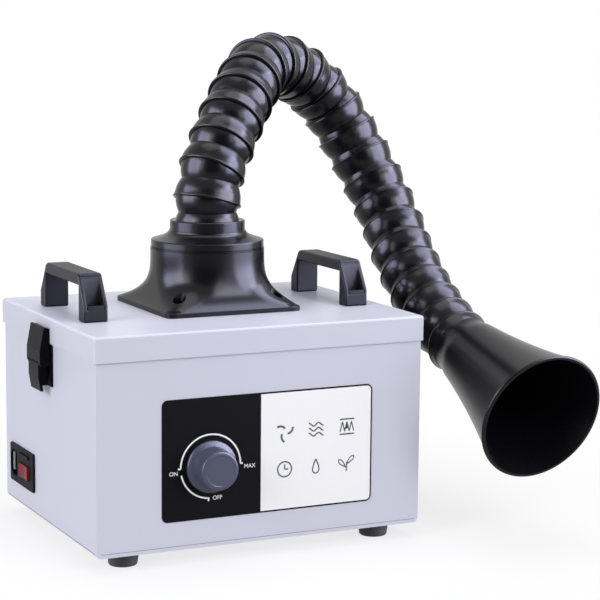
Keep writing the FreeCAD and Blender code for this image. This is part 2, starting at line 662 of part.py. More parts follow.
def make_board():
    """Drive board on four posts, with its tall components."""
    x, y = "board_x - board_width / 2", "board_y - board_depth / 2"
    z = "floor_height + standoff_height"
    plate = box(x, y, z, "board_width", "board_depth", "board_gauge")
    top = z + " + board_gauge"
    sink = box(x + " + 6", y + " + 10", top, "4", "board_depth / 2", "22")
    coil = box(x + " + 18", y + " + 12", top, "20", "24", "18")
    can = rod("Z", "board_x + 8", "board_y + 20", top, "7", "25")
    board = label(fuse(plate, sink, coil, can), "control_board")
    columns = ("board_x - board_width / 2 + standoff_inset", "board_x + board_width / 2 - standoff_inset")
    rows = ("board_y - board_depth / 2 + standoff_inset", "board_y + board_depth / 2 - standoff_inset")
    posts = []
    for column in columns:
        for row in rows:
            posts.append(rod("Z", column, row, "floor_height", "standoff_radius", "standoff_height"))
    return [board, label(group(posts), "board_posts")]


def make_handles():
    """Moulded bridge handles with sloped ends and a screw pocket in each end."""
    body = new_body("handle_left")
    half = "handle_length / 2"
    blank = pad(body, "YZ", "0 - handle_width / 2", "handle_width", [
        (f"0 - {half}", "0"), (f"handle_leg - {half}", "0"), (f"handle_leg - {half}", "handle_rise - handle_bar"),
        (f"{half} - handle_leg", "handle_rise - handle_bar"), (f"{half} - handle_leg", "0"), (half, "0"),
        (half, "handle_foot"), (f"{half} - handle_slope", "handle_rise"),
        (f"handle_slope - {half}", "handle_rise"), (f"0 - {half}", "handle_foot")])
    high = number("handle_rise")
    round_edges(body, blank, "handle_round", lambda m, d: m.z > high - 0.1 and abs(d.y) > 1 or
                m.z > high - 0.1 and abs(d.x) > 1)
    side = "pocket_width / 2"
    for sign in ("", "0 - "):
        inner = f"{half} - handle_leg + pocket_wall"
        outer = half + " + 1"
        if sign:
            inner, outer = f"0 - {half} + handle_leg - pocket_wall", f"0 - {half} - 1"
        pocket(body, "XY", "handle_rise", "handle_rise - pocket_floor", rectangle(
            f"0 - {side}", min(inner, outer, key=number), side, max(inner, outer, key=number)))
    place(body, "0 - handle_x", "top_y", "lid_top")
    spot = FreeCAD.Vector(number("handle_x"), number("top_y"), number("lid_top"))
    right = label(copy_of(body, FreeCAD.Placement(spot, FreeCAD.Rotation())), "handle_right")
    screws = []
    for across in (-1, 1):
        for along in (-1, 1):
            x = f"{across} * handle_x"
            y = f"top_y + {along} * handle_length / 2".replace("+ -", "- ")
            shift = "- handle_leg / 2 + pocket_wall / 2" if along > 0 else "+ handle_leg / 2 - pocket_wall / 2"
            screws.append(rod("Z", x.replace("-1 * ", "0 - "), f"{y} {shift}", "lid_top + pocket_floor",
                              "handle_screw_radius", "screw_head"))
    return [body, right, label(group(screws), "handle_screws")]


def make_flange():
    """Square foot that sweeps in a hollow curve up to a round neck."""
    body = new_body("arm_flange")
    pad(body, "XY", "0", "flange_plate", rounded("flange_side / 2", "flange_side / 2", "flange_corner"))
    sketches = []
    for share in (0, 0.06, 0.15, 0.3, 0.55, 1):
        left = (1 - share) ** 4
        half = f"flange_radius + {left:.4f} * flange_side / 2 - {left:.4f} * flange_radius - {left:.4f}"
        corner = f"{0.985 - 0.885 * left:.4f} * flange_radius"
        rise = f"flange_plate + {share} * flange_rise - {share} * flange_plate"
        sketches.append(sketch_on(body, "XY", rise, rounded(half, half, corner)))
    loft = body.newObject("PartDesign::AdditiveLoft", "loft")
    loft.Profile = sketches[0]
    loft.Sections = sketches[1:]
    loft.Ruled = True
    doc.recompute()
    pocket(body, "XY", "flange_rise", "flange_rise", ("circle", "0", "0", "duct_radius"))
    inset = "flange_side / 2 - flange_screw_inset"
    wells = [("circle", x, y, "flange_well_radius")
             for x in (inset, "flange_screw_inset - flange_side / 2")
             for y in (inset, "flange_screw_inset - flange_side / 2")]
    pocket(body, "XY", "flange_rise", "flange_rise - flange_plate", *wells)
    place(body, "arm_x", "top_y", "lid_top")
    screws = []
    for x in ("+ flange_side / 2 - flange_screw_inset", "- flange_side / 2 + flange_screw_inset"):
        for y in ("+ flange_side / 2 - flange_screw_inset", "- flange_side / 2 + flange_screw_inset"):
            screws.append(rod("Z", "arm_x " + x, "top_y " + y, "lid_top + flange_plate",
                              "flange_screw_radius", "screw_head"))
    return [body, label(group(screws), "flange_screws")]


def ball_tip(centre):
    """Ball arc from the crease and the way back down the bore."""
    return [("ball_end_radius", f"{centre} + ball_end", "0", centre), ("link_bore", f"{centre} + ball_end")]


def make_collar():
    """Swivel cap on the flange: spigot, shoulder, ring and the first ball."""
    body = new_body("swivel_collar")
    revolve(body, [
        ("duct_radius - collar_wall", "0 - collar_spigot"), ("duct_radius - collar_play", "0 - collar_spigot"),
        ("duct_radius - collar_play", "0"), ("flange_radius", "0"), ("flange_radius", "collar_shoulder"),
        ("collar_neck", "collar_neck_rise"), ("collar_ring", "collar_neck_rise"),
        ("collar_ring", "collar_bulge_top"),
        ("collar_bulge_radius", "collar_bulge_top"),
        ("crease_radius", "collar_bulge_height + crease_height", "0", "collar_bulge_height"),
        *ball_tip("first_ball_rise"), ("link_bore", "collar_bulge_height + throat_height"),
        ("duct_radius - collar_wall", "collar_shoulder")])
    return place(body, "arm_x", "top_y", "lid_top + flange_rise")


def socket_rim():
    """Rim and lip of a socket, from the socket's throat round to the start of the bulge."""
    return [("rim_radius", "0 - rim_drop", "0", "0"), ("lip_radius - lip_bevel", "0 - rim_drop"),
            ("lip_radius", "lip_bevel - rim_drop"), ("lip_radius", "lip_bevel - rim_drop + lip_band"),
            ("bulge_start", "lip_top")]


def make_link():
    """One link: a socket with a lip towards the base and a ball at the other end."""
    body = new_body("link_form")
    revolve(body, [
        ("link_bore", "throat_height"), *socket_rim(), ("crease_radius", "crease_height", "0", "0"),
        *ball_tip("link_pitch")])
    return body


def make_nozzle():
    """Suction bell: a socket, a short neck and a flared cone with a beaded mouth."""
    body = new_body("nozzle")
    edge = "mouth_radius - bead_proud"
    revolve(body, [
        ("link_bore", "throat_height"), *socket_rim(), ("shoulder_radius", "nozzle_shoulder", "0", "0"),
        ("nozzle_neck_radius", "nozzle_neck"),
        (edge, "nozzle_length - mouth_bead", "flare_centre", "0 - 14"),
        ("mouth_radius", "nozzle_length - mouth_bead + 1"), ("mouth_radius", "nozzle_length - 1"),
        (edge, "nozzle_length"), (edge + " - nozzle_wall", "nozzle_length"),
        ("nozzle_neck_radius - nozzle_wall", "nozzle_neck", "flare_centre", "0 - 14"),
        ("link_bore", "nozzle_neck - 3")])
    return body


def arm_frames():
    """Placement of each link's socket centre, then the nozzle's, each bent from the one before."""
    spot = FreeCAD.Vector(number("arm_x"), number("top_y"), number("lid_top + flange_rise + first_ball_rise"))
    turn = FreeCAD.Rotation()
    step = FreeCAD.Vector(0, 0, number("link_pitch"))
    frames = []
    for stretch in STRETCHES:
        bend, heading = number(stretch + "_bend"), math.radians(number(stretch + "_turn"))
        axis = FreeCAD.Vector(math.cos(heading), math.sin(heading), 0)
        for _ in range(int(number(stretch + "_count"))):
            turn = turn.multiply(FreeCAD.Rotation(axis, bend))
            frames.append(FreeCAD.Placement(spot, turn))
            spot = spot + turn.multVec(step)
    return frames


def make_arm():
    """The chain of links and the nozzle at its end."""
    form, nozzle = make_link(), make_nozzle()
    frames = arm_frames()
    links = []
    for i, frame in enumerate(frames[:-1], 1):
        links.append(label(copy_of(form, frame), f"link_{i:02d}"))
    nozzle.Placement = frames[-1]
    return links + [nozzle]


def mirrored(source, name):
    """The same piece on the right-hand side, turned half round the latch's upright axis."""
    offset = FreeCAD.Vector(0, 2 * number("latch_y"), 0)
    turn = FreeCAD.Placement(offset, FreeCAD.Rotation(FreeCAD.Vector(0, 0, 1), 180))
    return label(copy_of(source, turn.multiply(source.Placement)), name)


def both_sides(body, near, far, outline):
    """Two equal plates, one each side of the latch's middle."""
    pad(body, "XZ", near, less(far, near), outline)
    pad(body, "XZ", minus(far), less(far, near), outline)


def seat_latch(body):
    """Left latch pieces stand on the left wall; their x points outward, their z starts at the lid's edge."""
    body.Placement = FreeCAD.Placement(FreeCAD.Vector(), FreeCAD.Rotation(FreeCAD.Vector(0, 0, 1), 180))
    return place(body, "0 - case_width / 2", "latch_y", "latch_top")


def make_latches():
    """Draw latch: base with ears, lever on its pin, hook plate and the keeper on the lid."""
    pivot = ("pivot_out", "0 - pivot_drop")
    knuckle = ("knuckle_out", "0 - knuckle_drop")
    base = new_body("latch_base_form")
    pad(base, "YZ", "0", "latch_plate", rectangle(
        "0 - latch_base_width / 2", "0 - latch_gap - latch_base_drop",
        "latch_base_width / 2", "0 - latch_gap"))
    both_sides(base, "ear_spacing", "ear_spacing + ear_gauge", [
        ("0", "0 - latch_gap"), ("0", "0 - pivot_drop - 9"), ("pivot_out", "0 - pivot_drop - 3"),
        ("pivot_out + 3", "0 - pivot_drop", "pivot_out", "0 - pivot_drop"),
        ("pivot_out", "3 - pivot_drop", "pivot_out", "0 - pivot_drop")])
    pin = rod("Y", "pivot_out", "0 - lever_width / 2", "0 - pivot_drop", "pivot_radius", "lever_width")
    base_left = label(fuse(base, pin), "latch_base_left")
    seat_latch(base_left)
    # lever: two arms round the pin, a knuckle, and a curved skin that ends in a finger lip
    lever = new_body("latch_lever_left")
    arm_in = "ear_spacing + ear_gauge + side_play"
    both_sides(lever, arm_in, "lever_width / 2", [
        ("pivot_out - 3", "0 - pivot_drop"), ("pivot_out", "3 - pivot_drop", *pivot),
        ("pivot_out + 3", "0 - pivot_drop", *pivot),
        ("knuckle_out - 0.6", "0 - knuckle_drop"), ("knuckle_out + 1.5", "0 - knuckle_drop - 6"),
        ("knuckle_out - 0.8", "6 - lever_drop"), ("latch_plate + cheek_gap", "6 - lever_drop"),
        ("latch_plate + cheek_gap", "0 - pivot_drop - 8")])
    pad(lever, "XZ", "0 - lever_width / 2", "lever_width", [
        ("knuckle_out", "knuckle_radius - knuckle_drop", *knuckle),
        ("knuckle_out - knuckle_radius", "0 - knuckle_drop", *knuckle),
        ("knuckle_out + knuckle_radius - lever_skin", "0 - knuckle_drop - 4"),
        ("knuckle_out + knuckle_radius - lever_skin - lever_flare", "0 - lever_drop"),
        ("knuckle_out + knuckle_radius - lever_flare + 0.5", "0 - lever_drop"),
        ("knuckle_out + knuckle_radius", "0 - knuckle_drop - 12"),
        ("knuckle_out + knuckle_radius", "0 - knuckle_drop")])
    pad(lever, "XZ", "0 - latch_width / 2", "latch_width", ("circle", *knuckle, "pivot_radius"))
    pocket(lever, "XZ", "lever_width / 2", "lever_width", ("circle", *pivot, "pivot_radius + pivot_play"))
    seat_latch(lever)
    # hook plate: cheeks on the knuckle's stubs and a plate that leans in to the lid
    hook = new_body("latch_hook_left")
    skin_out = "knuckle_out + knuckle_radius"
    both_sides(hook, "lever_width / 2 + side_play", "latch_width / 2", [
        ("latch_plate + cheek_gap", "0 - knuckle_drop"), ("knuckle_out", "0 - knuckle_drop - 3.6"),
        (skin_out, "hook_seam - knuckle_drop - 1.5"), (skin_out, "0 - latch_gap - 5"),
        ("hook_tip + hook_skin", "hook_rise"), ("latch_plate + cheek_gap", "hook_rise - 1")])
    pad(hook, "XZ", "0 - latch_width / 2", "latch_width", [
        (skin_out + " - hook_skin", "hook_seam - knuckle_drop"), (skin_out, "hook_seam - knuckle_drop"),
        (skin_out, "0 - latch_gap - 5"), ("hook_tip + hook_skin", "hook_rise"), ("hook_tip", "hook_rise"),
        ("hook_tip", "hook_rise - 4"), (skin_out + " - hook_skin", "0 - latch_gap - 5")])
    pocket(hook, "XZ", "latch_width / 2", "latch_width", ("circle", *knuckle, "pivot_radius + pivot_play"))
    seat_latch(hook)
    # keeper: a low nose on the lid's skirt behind the hook's tip
    keeper = new_body("keeper_form")
    wall = "lid_clearance + sheet_gauge"
    pad(keeper, "XZ", "0 - keeper_width / 2", "keeper_width", [
        (wall, "keeper_foot"), (wall + " + keeper_proud - 1", "keeper_foot"),
        (wall + " + keeper_proud", "keeper_foot + 1"),
        (wall + " + keeper_proud", "keeper_foot + keeper_rise / 2"), (wall, "keeper_foot + keeper_rise")])
    seat_latch(keeper)
    doc.recompute()
    pieces = [base_left, mirrored(base_left, "latch_base_right"), lever, mirrored(lever, "latch_lever_right"),
              hook, mirrored(hook, "latch_hook_right")]
    keepers = label(group([keeper, mirrored(keeper, "keeper_right")]), "latch_keepers")
    return pieces + [keepers]


def build():
    """Every sub-part of the extractor, in one list."""
    fill_sheet()
    nodes = [make_case(), make_lid(), make_gasket(), make_feet(), make_label(), make_knob(), make_control(),
             make_shaft(), make_inlet(), make_inlet_pins(), make_rocker(), make_fuse_drawer(), make_shelf(),
             make_ledges(), *make_filters(), make_blower(), make_motor(), make_spindle(), make_wheel(),
             *make_board(), *make_handles(), *make_flange(), make_collar(), *make_arm(), *make_latches()]
    doc.recompute()
    return nodes


def check(nodes):
    """Stop before writing anything if an object or a sub-part has failed."""
    for thing in doc.Objects:
        if "Invalid" in thing.State or "Error" in thing.State:
            raise RuntimeError(f"{thing.Name} of {thing.Label} failed: {thing.State}")
    for node in nodes:
        shape = Part.getShape(node)
        if shape.isNull() or not shape.isValid() or not shape.Solids:
            raise RuntimeError(f"{node.Label} has no valid solid")


parts = build()
check(parts)
os.makedirs("parts", exist_ok=True)
for part in parts:
    Part.getShape(part).exportStep(f"parts/{part.Label}.step")
print(len(parts), "sub-parts")
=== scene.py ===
"""Looks of the bench fume extractor: skins over the solids, turned arm pieces, label print and light."""
import json
import math
import bmesh
import bpy
from mathutils import Matrix
import numpy as np


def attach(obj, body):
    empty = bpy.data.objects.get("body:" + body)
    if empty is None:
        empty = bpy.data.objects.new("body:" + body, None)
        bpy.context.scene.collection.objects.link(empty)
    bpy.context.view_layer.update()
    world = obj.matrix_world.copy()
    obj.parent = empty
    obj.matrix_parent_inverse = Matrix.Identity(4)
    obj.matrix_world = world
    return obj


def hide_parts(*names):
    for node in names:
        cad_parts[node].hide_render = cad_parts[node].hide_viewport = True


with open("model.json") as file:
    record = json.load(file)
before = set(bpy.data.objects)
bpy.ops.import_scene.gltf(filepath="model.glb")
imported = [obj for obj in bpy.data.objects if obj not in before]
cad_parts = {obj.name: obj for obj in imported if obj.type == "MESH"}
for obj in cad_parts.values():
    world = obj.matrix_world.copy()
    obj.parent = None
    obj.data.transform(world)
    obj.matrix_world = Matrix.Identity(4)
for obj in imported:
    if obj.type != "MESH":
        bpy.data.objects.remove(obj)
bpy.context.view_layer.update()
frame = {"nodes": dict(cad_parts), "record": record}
MM = 0.001

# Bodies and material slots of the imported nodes
BODY_OF = {node: body for body, nodes in frame["record"]["behaviour"]["bodies"].items() for node in nodes}
SLOT_OF = {entry["node"]: entry["material_slot"] for entry in frame["record"]["subparts"]}

# Sizes shared with the solids, in millimetres
CASE_FRONT = -136.5
LID_TOP = 227.0
LABEL = {"left": -107.0, "right": 118.0, "bottom": 43.0, "top": 162.0, "thickness": 0.6, "corner": 6.0}
KNOB = {"x": -56.5, "z": 94.4, "base": CASE_FRONT - 1.2, "radius": 25.5, "skirt": 5.0, "cap": 20.5,
        "crown": 19.0, "length": 23.5, "round": 2.0, "wall": 3.0}
DIAL = {"inner": 30.4, "outer": 32.0, "tick_half_degrees": 1.4, "ink": 0.08, "word": 4.0}
ARM_FOOT = np.array([3.0, 10.0, LID_TOP + 60.0])
FIRST_BALL = 49.8
LINK = {"pitch": 30.5, "ball": 32.5, "socket": 32.65, "bulge": 34.0, "rim": 4.0, "lip": 35.3, "lip_top": 2.0,
        "end": 8.0, "bore": 27.6, "bead": 1.6}
COLLAR = {"wall": 40.0, "spigot": 43.85, "drop": 12.0, "shelf": 58.0, "groove": 56.6, "band": 57.6,
          "cone_foot": 9.0, "cone_rise": 9.0, "cone_end": 39.4, "cone_reach": 17.4, "ring": 38.3,
          "top": 28.5}
FLANGE = {"half": 72.0, "radius": 58.0, "plate": 5.0, "rise": 60.0, "side": 73.0, "corner": 7.0,
          "duct": 44.0, "screw": 53.0, "well": 6.5}
HANDLE = {"x": 142.0, "half_length": 65.0, "lip_low": 12.5, "lip_high": 16.2, "lip_half_width": 8.6,
          "lip_depth": 2.4, "lip_round": 0.4}
FOOT_JOINT = {"low": 18.6, "high": 19.2, "half_width": 172.5, "corner": 5.0, "inner_corner": 4.75,
              "proud": 0.05, "sunk": 0.2}
STRETCHES = ((2, 16.0, 120.0), (4, 9.2, 148.0), (6, 16.2, 103.0), (5, 8.8, 91.0), (6, 5.0, 37.0))
BELL = {"length": 167.0, "mouth": 68.0, "neck": 27.0, "neck_radius": 36.0, "shoulder": 10.0, "flare": 1000.0,
        "wall": 1.8, "bead": 2.0, "cap": ((33.2, 16.0), (33.6, 21.0), (34.6, 24.0))}
NEAR_AXIS = 0.01


# Colour and materials
def linear(code):
    """sRGB hex to linear light, channel by channel: the low end is a straight line, the rest a 2.4 power."""
    values = np.array([int(code[i:i + 2], 16) / 255 for i in (1, 3, 5)])
    low = values / 12.92
    high = ((values + 0.055) / 1.055) ** 2.4
    return (*np.where(values <= 0.04045, low, high).tolist(), 1.0)


def add(tree, kind, inputs=(), **settings):
    """One node with its settings; each input takes a value or another node's output."""
    made = tree.nodes.new(kind)
    for name, value in settings.items():
        setattr(made, name, value)
    for socket, value in inputs:
        if isinstance(value, bpy.types.NodeSocket):
            tree.links.new(value, made.inputs[socket])
        else:
            made.inputs[socket].default_value = value
    return made


def finish(name, code, roughness, metallic=0.0, specular=0.5, grain_mm=0.0, relief=0.0, detail=2.0):
    """Material with one colour and, where grain_mm is given, a fine relief of that size."""
    material = bpy.data.materials.new(name)
    material.use_nodes = True
    tree = material.node_tree
    shader = tree.nodes["Principled BSDF"]
    shader.inputs["Base Color"].default_value = linear(code)
    shader.inputs["Roughness"].default_value = roughness
    shader.inputs["Metallic"].default_value = metallic
    shader.inputs["Specular IOR Level"].default_value = specular
    if grain_mm:
        place = add(tree, "ShaderNodeTexCoord")
        grain = add(tree, "ShaderNodeTexNoise", [
            ("Vector", place.outputs["Object"]), ("Scale", 1.0 / (grain_mm * MM)), ("Detail", detail)])
        bump = add(tree, "ShaderNodeBump", [
            ("Height", grain.outputs["Fac"]), ("Strength", relief), ("Distance", 0.1 * MM)])
        tree.links.new(bump.outputs["Normal"], shader.inputs["Normal"])
    return material


FINISH = {
    # powder coat on folded steel: a pale lavender grey with a soft sheen and a fine orange peel
    "pale_coat": finish("powder_coat_pale_grey", "#D2D3E1", 0.4, specular=0.16, grain_mm=2.5, relief=0.1),
    # polypropylene moulded in polished tools: deep black with soft reflections
    "black_gloss": finish("polished_black_polypropylene", "#0D0C11", 0.25, specular=0.17),
    # glass-filled nylon: satin dark grey
    "dark_plastic": finish("satin_dark_nylon", "#1A1A21", 0.42, specular=0.13, grain_mm=1.2, relief=0.12),
    # moulded rubber: dull black
    "rubber": finish("moulded_black_rubber", "#161618", 0.7),
    # turned and stamped steel: bright, with soft reflections
    "steel": finish("plated_steel", "#B9BABD", 0.28, metallic=1.0),
    # blackened steel stampings: dark, with little shine
    "latch_metal": finish("blackened_steel", "#0E0E12", 0.34, specular=0.03),
    # printed polyester film: smooth and black
    "label_film": finish("black_polyester_film", "#0D0D0E", 0.5, specular=0.03),
    # blue-grey ABS: satin
    "knob_plastic": finish("blue_grey_abs", "#464A5E", 0.3, specular=0.3, grain_mm=1.0, relief=0.08),
    # black nylon of the mains module
    "module_plastic": finish("black_nylon_module", "#16161D", 0.45, specular=0.03),
    # red polycarbonate of the rocker
    "rocker_red": finish("red_polycarbonate", "#74131A", 0.3, specular=0.06),
    # needled polyester fleece: white and dull
    "filter_media": finish("white_polyester_fleece", "#E4E3DD", 0.9, grain_mm=3.0, relief=0.6, detail=5.0),
    # black ABS of the blower
    "blower_plastic": finish("black_abs_blower", "#1E1E21", 0.5),
    # die-cast motor shell
    "motor_shell": finish("die_cast_aluminium", "#B4B5B8", 0.45, metallic=1.0),
    # solder-masked glass epoxy
    "board_green": finish("green_solder_mask", "#1D5B39", 0.35),
}
# printed film and screen inks of the label
WHITE_FILM = finish("white_polyester_film", "#FBFBFC", 0.4, specular=0.2)
WHITE_INK = finish("white_screen_ink", "#F4F4F6", 0.45)
DARK_INK = finish("dark_screen_ink", "#2A2B30", 0.45)
# blackened screws of the handles and the flange
DARK_SCREW = finish("blackened_screw_steel", "#0E0E11", 0.45, specular=0.1)
# joint between the folded base pan and the walls, coloured darker than the coat as painted shade of the gap,
# where little light gets in
SEAM_SHADE = finish("base_pan_joint_painted_shade", "#8E8F9C", 0.6, specular=0.2)


# Pieces
def dress(mesh, name, body, material, angle=35.0, bevel=0.0, even=False):
    """Object from a mesh: smooth faces with sharp edges past an angle, a small bevel on those edges where
    asked, and normals that follow the larger faces where asked."""
    mesh.shade_smooth()
    mesh.set_sharp_from_angle(angle=math.radians(angle))
    mesh.materials.clear()
    mesh.materials.append(material)
    piece = bpy.data.objects.new(name, mesh)
    bpy.context.scene.collection.objects.link(piece)
    if bevel:
        edge = piece.modifiers.new("edge", "BEVEL")
        edge.width = bevel * MM
        edge.segments = 2
        edge.limit_method = "ANGLE"
        edge.angle_limit = math.radians(angle)
    if even:
        shading = piece.modifiers.new("even_shading", "WEIGHTED_NORMAL")
        shading.keep_sharp = True
        shading.weight = 100
    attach(piece, body)
    return piece


def skin(node, bevel=0.0, angle=35.0):
    """Copy of a solid's mesh with its doubles merged and its flat faces made whole, for even shading."""
    mesh = frame["nodes"][node].data.copy()
    work = bmesh.new()
    work.from_mesh(mesh)
    bmesh.ops.remove_doubles(work, verts=work.verts, dist=0.002 * MM)
    bmesh.ops.dissolve_limit(work, angle_limit=math.radians(0.3), verts=work.verts, edges=work.edges)
    work.to_mesh(mesh)
    work.free()
    mesh.name = node + "_skin"
    material = DARK_SCREW if node.endswith("_screws") else FINISH[SLOT_OF[node]]
    piece = dress(mesh, node + "_skin", BODY_OF[node], material, angle, bevel, True)
    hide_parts(node)
    return piece


def grid_mesh(name, points, close_rows, close_columns):
    """Mesh of quads over a grid of points; the sign of the enclosed volume tells which way is out."""
    rows, columns = points.shape[:2]
    row_steps = np.arange(rows if close_rows else rows - 1)
    column_steps = np.arange(columns if close_columns else columns - 1)
    i, j = (a.ravel() for a in np.meshgrid(row_steps, column_steps, indexing="ij"))
    i2, j2 = (i + 1) % rows, (j + 1) % columns
    quads = np.stack([i * columns + j, i2 * columns + j, i2 * columns + j2, i * columns + j2], axis=1)
    flat = points.reshape(-1, 3)
    a, b, c, d = (flat[quads[:, k]] for k in range(4))
    volume = np.sum(np.cross(c - a, d - b) * (a + b + c + d)) / 24
    if volume < 0:
        quads = quads[:, ::-1]
    mesh = bpy.data.meshes.new(name)
    mesh.from_pydata((flat * MM).tolist(), [], quads.tolist())
    return mesh


def upright(axis):
    """Two unit vectors square to an axis and to each other."""
    helper = np.array([0.0, 0.0, 1.0]) if abs(axis[2]) < 0.9 else np.array([1.0, 0.0, 0.0])
    first = np.cross(helper, axis)
    first = first / np.linalg.norm(first)
    return first, np.cross(axis, first)


def turned(name, profile, foot, axis, segments=120):
    """Turned form: each profile point (radius, height) is carried once round the axis through foot."""
    profile = np.array(profile, dtype=float)
    across, along = upright(axis)
    around = np.linspace(0, 2 * math.pi, segments, endpoint=False)
    ring = np.cos(around)[:, None] * across + np.sin(around)[:, None] * along
    points = foot + profile[:, None, 0:1] * ring[None] + profile[:, None, 1:2] * axis
    return grid_mesh(name, points, True, True)


def ball_arc(centre, radius, low, high, count=9):
    """Points of a circle round (0, centre) on the axis, between two heights, even in angle."""
    start, stop = (math.asin((h - centre) / radius) for h in (low, high))
    angle = np.linspace(start, stop, count)
    return [(radius * math.cos(a), centre + radius * math.sin(a)) for a in angle]


def flare_arc(start, stop, centre_radius, count=15):
    """Points of the hollow curve between two profile points, on a circle whose centre has that radius."""
    (r0, z0), (r1, z1) = start, stop
    shift = ((centre_radius - r1) ** 2 - (centre_radius - r0) ** 2 + z1 ** 2 - z0 ** 2) / (2 * (z1 - z0))
    size = math.hypot(centre_radius - r0, z0 - shift)
    heights = np.linspace(z0, z1, count)
    return [(centre_radius - math.sqrt(size ** 2 - (z - shift) ** 2), z) for z in heights]


def crease(base):
    """Height where a bulge centred at base meets the ball one pitch above it."""
    p = LINK["pitch"]
    return base + (p ** 2 + LINK["bulge"] ** 2 - LINK["ball"] ** 2) / (2 * p)


def on_sphere(radius, height):
    return math.sqrt(radius ** 2 - height ** 2)


def socket_side():
    """Profile from the socket's throat down its sphere, round the rim and the lip's rounded bead."""
    throat = on_sphere(LINK["socket"], LINK["bore"])
    size = LINK["bead"]
    bead = [(LINK["lip"] - size + size * math.cos(a), -LINK["rim"] + size + size * math.sin(a))
            for a in np.linspace(-math.pi / 2, math.pi / 3, 9)]
    return ball_arc(0, LINK["socket"], throat, -LINK["rim"], 8) + bead


def ball_side(centre):
    """Profile of a ball from its crease over the end face to the bore."""
    end = centre + LINK["end"]
    arc = ball_arc(centre, LINK["ball"], crease(centre - LINK["pitch"]), end, 10)
    return arc + [(LINK["bore"], end)]


def link_profile():
    throat = on_sphere(LINK["socket"], LINK["bore"])
    bulge = ball_arc(0, LINK["bulge"], LINK["lip_top"], crease(0), 10)
    return socket_side() + bulge[:-1] + ball_side(LINK["pitch"]) + [(LINK["bore"], throat + 0.01)]


def bell_profile():
    """Suction bell: socket, cap, nearly straight flare, rounded rim and the inside back to the bore."""
    wall, bead, neck, length = BELL["wall"], BELL["bead"], BELL["neck"], BELL["length"]
    edge = BELL["mouth"] - wall
    outside = flare_arc((BELL["neck_radius"], neck), (edge, length - 2 * bead), BELL["flare"])
    inside = flare_arc((BELL["neck_radius"] - wall, neck), (edge - wall, length), BELL["flare"])
    rim = [(BELL["mouth"] - bead + bead * math.cos(a), length - bead + bead * math.sin(a))
           for a in np.linspace(-math.pi / 2, math.pi / 2, 11)]
    bulge = ball_arc(0, LINK["bulge"], LINK["lip_top"], BELL["shoulder"], 8)
    throat = [(LINK["bore"], neck - 3)]
    return socket_side() + bulge + list(BELL["cap"]) + outside + rim + inside[::-1] + throat


def collar_profile():
    """Swivel cap: spigot, shelf, groove, band, hollow cone, ring, bulge and the first ball."""
    c = COLLAR
    base = FIRST_BALL - LINK["pitch"]
    bulge = ball_arc(base, LINK["bulge"], c["top"], crease(base), 8)
    outer = [(c["wall"], -c["drop"]), (c["spigot"], -c["drop"]), (c["spigot"], 0.0), (c["shelf"] - 0.5, 0.0),
             (c["shelf"], 0.5), (c["shelf"], 1.4), (c["groove"], 1.8), (c["groove"], 2.4), (c["band"], 2.8),
             (c["band"], c["cone_foot"] - 1.0), (c["band"] - 0.8, c["cone_foot"])]
    hollow = [(c["cone_end"] + c["cone_reach"] * (1 - s) ** 2, c["cone_foot"] + c["cone_rise"] * s)
              for s in np.linspace(0.08, 1, 10)]
    ring = [(c["ring"], 18.4), (c["ring"], c["top"] - 0.8), (c["ring"] - 0.8, c["top"])]
    throat = base + on_sphere(LINK["socket"], LINK["bore"])
    inner = [(LINK["bore"], throat), (c["wall"], 3.0)]
    return outer + hollow + ring + bulge[:-1] + ball_side(FIRST_BALL) + inner


def knob_profile():
    """Skirt, cap with a rounded crown, sunk face and the hollow for the shaft."""
    k = KNOB
    inside = k["cap"] - k["wall"]
    sunk = k["length"] - 0.5
    crown = [(k["crown"] - k["round"] * (1 - math.sin(a)), k["length"] - k["round"] * (1 - math.cos(a)))
             for a in np.linspace(math.pi / 2, 0, 6)]
    skirt = [(inside, 0.0), (k["radius"] - 0.4, 0.0), (k["radius"], 0.4), (k["radius"], 2.9),
             (k["radius"] - 0.5, 3.6), (k["cap"], k["skirt"])]
    face = [(k["crown"] - 4, k["length"]), (k["crown"] - 4.5, sunk), (NEAR_AXIS, sunk)]
    hollow = [(NEAR_AXIS, 12.0), (3.0, 12.0), (3.0, 6.0), (6.0, 6.0), (6.0, 10.0), (inside, 10.0)]
    return skirt + crown + face + hollow


def turn(axis, degrees):
    """Rotation about a unit axis: identity, plus sine times the cross matrix, plus a share of its square."""
    x, y, z = axis
    cross = np.array([[0, -z, y], [z, 0, -x], [-y, x, 0]])
    angle = math.radians(degrees)
    return np.eye(3) + math.sin(angle) * cross + (1 - math.cos(angle)) * cross @ cross


def arm_stations():
    """Socket centre and axis of each link and of the bell, each bent from the one before."""
    spot = ARM_FOOT + np.array([0, 0, FIRST_BALL])
    facing = np.eye(3)
    stations = []
    for count, bend, heading in STRETCHES:
        local = np.array([math.cos(math.radians(heading)), math.sin(math.radians(heading)), 0.0])
        for _ in range(count):
            facing = facing @ turn(local, bend)
            stations.append((spot.copy(), facing[:, 2].copy()))
            spot = spot + facing[:, 2] * LINK["pitch"]
    return stations


def turned_piece(node, profile, foot, axis, segments=120, angle=28.0):
    mesh = turned(node + "_form", profile, foot, axis, segments)
    piece = dress(mesh, node + "_form", BODY_OF[node], FINISH[SLOT_OF[node]], angle)
    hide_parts(node)
    return piece



